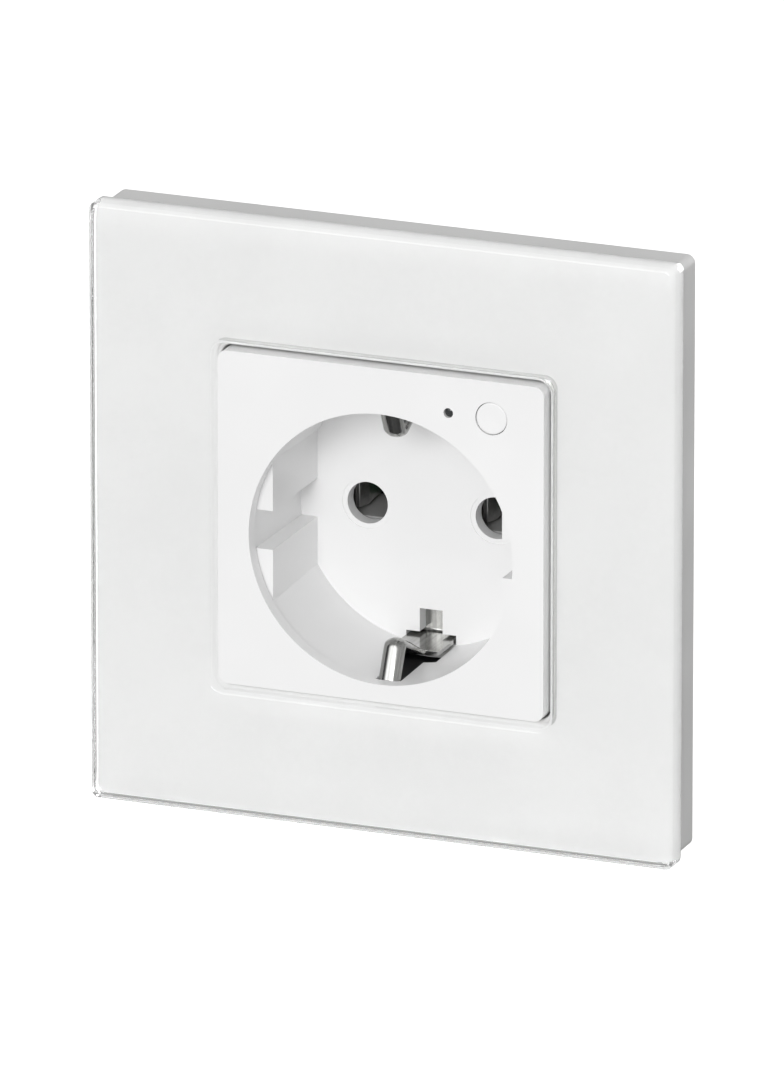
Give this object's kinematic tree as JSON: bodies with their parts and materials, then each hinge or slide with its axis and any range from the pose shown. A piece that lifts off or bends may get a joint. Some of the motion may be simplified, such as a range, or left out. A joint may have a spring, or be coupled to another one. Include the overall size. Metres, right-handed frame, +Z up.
{
  "type": "flush metering wall socket",
  "caption": "Flush wall socket with side earth clips, glass frame, round plug well, push button, status light, switching and energy metering electronics.",
  "frame": {"origin": "on the wall plane, midway between the box screws", "axes": "+X right, +Y into the wall, +Z up, seen from the front"},
  "size_m": [0.086, 0.0485, 0.086],
  "materials": {
    "clear_glass": "polished, ground edges",
    "white_film": "white print and adhesive",
    "carrier_plastic": "fine moulded",
    "insert_plastic": "satin moulded white",
    "plated_spring": "nickel plated",
    "zinc_steel": "zinc plated sheet",
    "screw_steel": "zinc plated",
    "contact_brass": "stamped",
    "housing_plastic": "moulded",
    "dark_plastic": "moulded",
    "grey_plastic": "moulded",
    "block_nylon": "moulded",
    "board_laminate": "green solder mask",
    "shield_tin": "tinned",
    "gold_pin": "gold flashed",
    "tape_yellow": "polyester tape",
    "fuse_brown": "moulded",
    "varistor_blue": "epoxy dipped",
    "shunt_alloy": "manganin",
    "clear_plastic": "moulded clear",
    "led_yellow": "moulded"
  },
  "bodies": {
    "module": {"mounting_plate": "zinc_steel", "plate_screws": "screw_steel", "socket_cover": "insert_plastic", "slot_liner": "dark_plastic", "rear_housing": "housing_plastic", "housing_screws": "screw_steel", "contact_base": "grey_plastic", "base_screws": "screw_steel", "earth_strap": "plated_spring", "line_contact": "shield_tin", "neutral_contact": "shield_tin", "contact_springs": "plated_spring", "tact_switch": "dark_plastic", "status_led": "led_yellow", "light_pipe": "clear_plastic", "front_board": "board_laminate", "link_header": "gold_pin", "main_board": "board_laminate", "power_relay": "dark_plastic", "supply_transformer": "tape_yellow", "smoothing_capacitor": "dark_plastic", "fuse": "fuse_brown", "varistor": "varistor_blue", "metering_chip": "dark_plastic", "shunt_resistor": "shunt_alloy", "radio_module": "shield_tin", "terminal_block": "block_nylon", "line_tongue": "contact_brass", "neutral_tongue": "contact_brass", "earth_tongue": "contact_brass"},
    "panel": {"glass_panel": "clear_glass", "panel_film": "white_film", "panel_carrier": "carrier_plastic"},
    "button": {"button_cap": "insert_plastic", "switch_plunger": "grey_plastic"},
    "line_screw": {"line_screw": "screw_steel"},
    "line_cage": {"line_cage": "contact_brass"},
    "neutral_screw": {"neutral_screw": "screw_steel"},
    "neutral_cage": {"neutral_cage": "contact_brass"},
    "earth_screw": {"earth_screw": "screw_steel"},
    "earth_cage": {"earth_cage": "contact_brass"}
  },
  "joints": [
    {"name": "panel_pull", "type": "slide", "parent": "module", "child": "panel", "axis": [0, -1, 0], "range_m": [0, 0.012]},
    {"name": "button_press", "type": "slide", "parent": "module", "child": "button", "axis": [0, 1, 0], "range_m": [0, 0.0005], "stiffness_N_per_m": 1500},
    {"name": "line_screw_turn", "type": "hinge", "parent": "module", "child": "line_screw", "pos_m": [-0.0073, 0.03125, -0.02], "axis": [0, 0, 1], "range_deg": [0, 2160]},
    {"name": "line_clamp_rise", "type": "slide", "parent": "module", "child": "line_cage", "axis": [0, 0, -1], "range_m": [0, 0.003]},
    {"name": "earth_screw_turn", "type": "hinge", "parent": "module", "child": "earth_screw", "pos_m": [0, 0.03125, -0.02], "axis": [0, 0, 1], "range_deg": [0, 2160]},
    {"name": "earth_clamp_rise", "type": "slide", "parent": "module", "child": "earth_cage", "axis": [0, 0, -1], "range_m": [0, 0.003]},
    {"name": "neutral_screw_turn", "type": "hinge", "parent": "module", "child": "neutral_screw", "pos_m": [0.0073, 0.03125, -0.02], "axis": [0, 0, 1], "range_deg": [0, 2160]},
    {"name": "neutral_clamp_rise", "type": "slide", "parent": "module", "child": "neutral_cage", "axis": [0, 0, -1], "range_m": [0, 0.003]}
  ],
  "couplings": [
    {"joint": "line_screw_turn", "follows": "line_clamp_rise", "rad_per_m": 12566},
    {"joint": "earth_screw_turn", "follows": "earth_clamp_rise", "rad_per_m": 12566},
    {"joint": "neutral_screw_turn", "follows": "neutral_clamp_rise", "rad_per_m": 12566}
  ]
}
